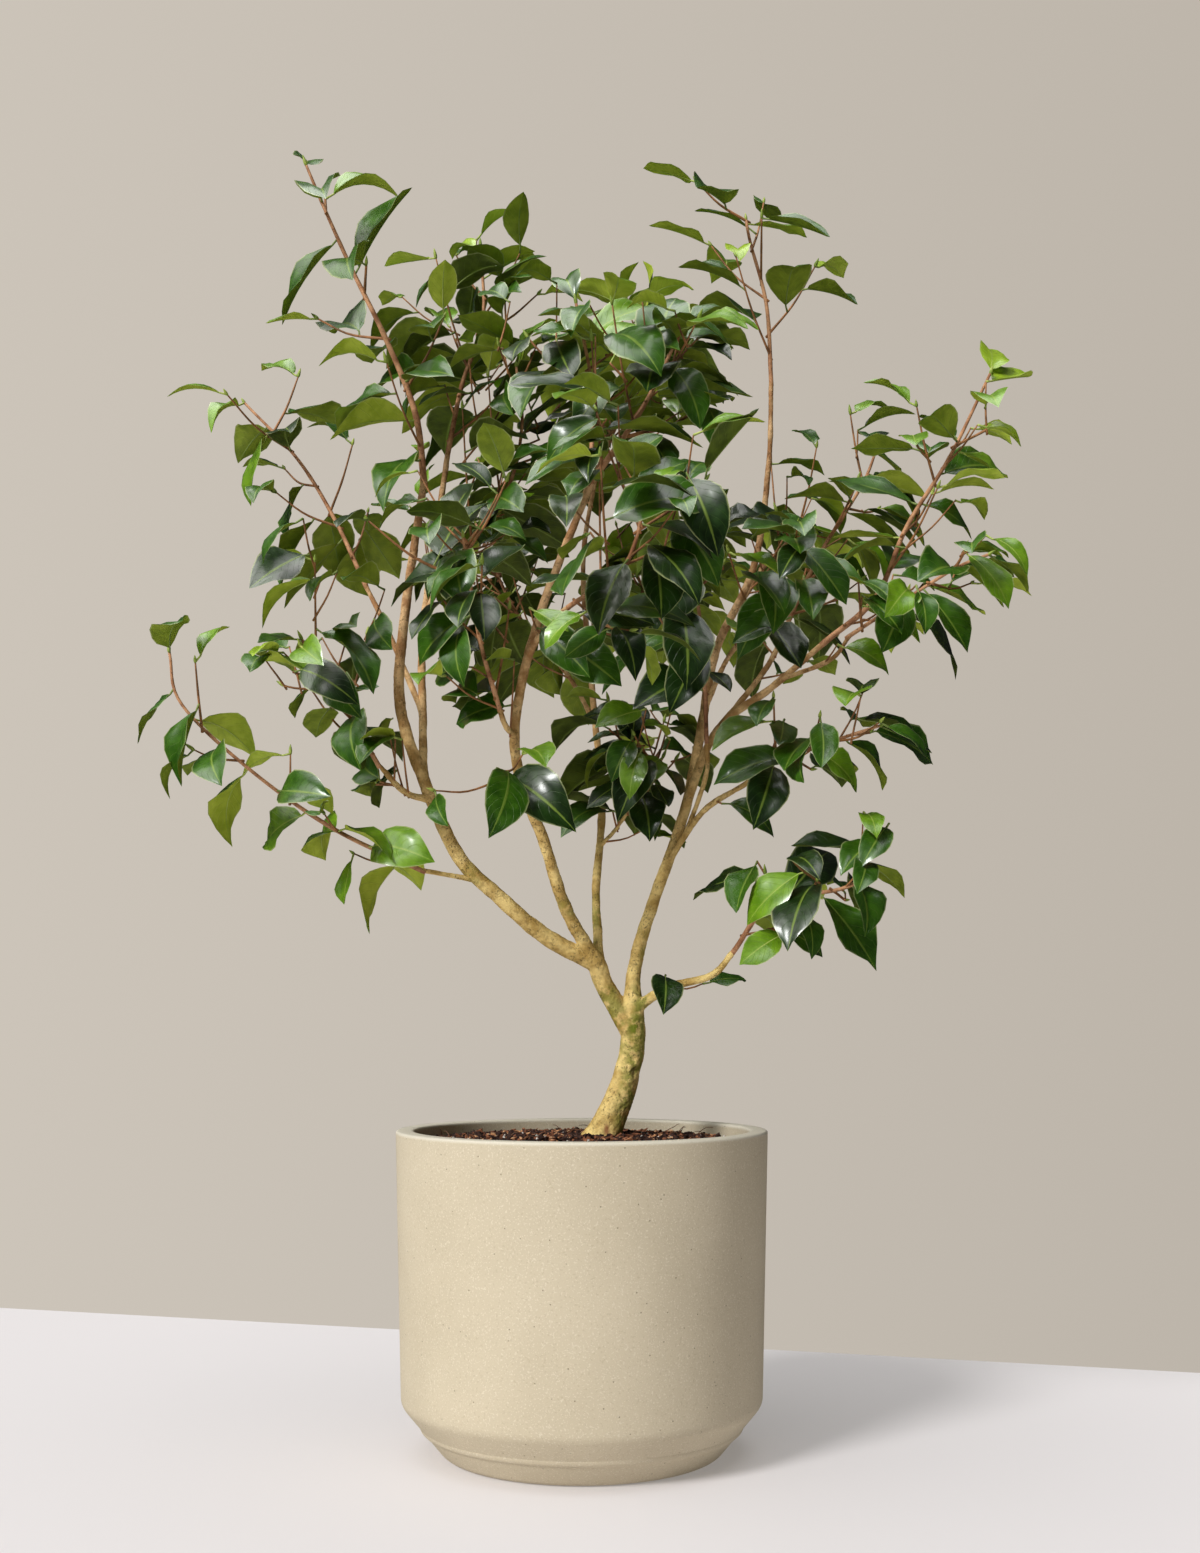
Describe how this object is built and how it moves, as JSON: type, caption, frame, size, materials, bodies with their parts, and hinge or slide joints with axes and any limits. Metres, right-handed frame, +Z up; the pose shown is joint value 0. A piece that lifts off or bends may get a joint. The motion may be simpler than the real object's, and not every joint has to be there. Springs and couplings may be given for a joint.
{
  "type": "potted camellia shrub",
  "caption": "Evergreen shrub with a leaning forked trunk, slender boughs and an open crown of glossy leaves, growing in a round stone planter.",
  "frame": {"origin": "centre of the pot's flat underside", "axes": "+Z up along the pot's axis; -Y is the side that the front view shows, +X is to its right"},
  "size_m": [0.9122, 0.7156, 1.322],
  "materials": {
    "pot": "matte cast stone, pale beige with fine light and dark specks",
    "soil": "moist bark compost with chips and a few pale grains",
    "bark": "smooth tan bark with a green bloom of algae, small dark specks and shallow wrinkles",
    "leaf": "glossy dark green leaves, paler and matte underneath, with yellow-green young leaves"
  },
  "bodies": {
    "root": {"pot": "pot", "soil": "soil", "trunk": "bark", "left_fork": "bark", "left_bough": "bark", "inner_left_bough": "bark", "middle_bough": "bark", "back_bough": "bark", "right_bough": "bark", "low_right_bough": "bark", "right_side_bough": "bark", "right_back_bough": "bark", "right_middle_bough": "bark", "left_side_bough": "bark", "left_middle_bough": "bark", "low_left_bough": "bark", "front_left_bough": "bark", "center_left_bough": "bark", "crown_bough": "bark", "front_bough": "bark", "back_right_bough": "bark", "back_left_bough": "bark", "inner_right_bough": "bark", "front_right_bough": "bark", "outer_back_bough": "bark", "right_spray_bough": "bark", "low_center_bough": "bark", "low_front_bough": "bark", "foliage_top_left": "leaf", "foliage_upper_left": "leaf", "foliage_left": "leaf", "foliage_left_middle": "leaf", "foliage_low_left": "leaf", "foliage_front_left": "leaf", "foliage_center_left": "leaf", "foliage_center_top": "leaf", "foliage_crown": "leaf", "foliage_back_top": "leaf", "foliage_front": "leaf", "foliage_back_right": "leaf", "foliage_back_left": "leaf", "foliage_inner_right": "leaf", "foliage_top_right": "leaf", "foliage_right": "leaf", "foliage_far_right": "leaf", "foliage_right_spray": "leaf", "foliage_right_middle": "leaf", "foliage_low_right": "leaf", "foliage_front_right": "leaf", "foliage_outer_back": "leaf", "foliage_low_center": "leaf", "foliage_low_front": "leaf"}
  },
  "joints": []
}
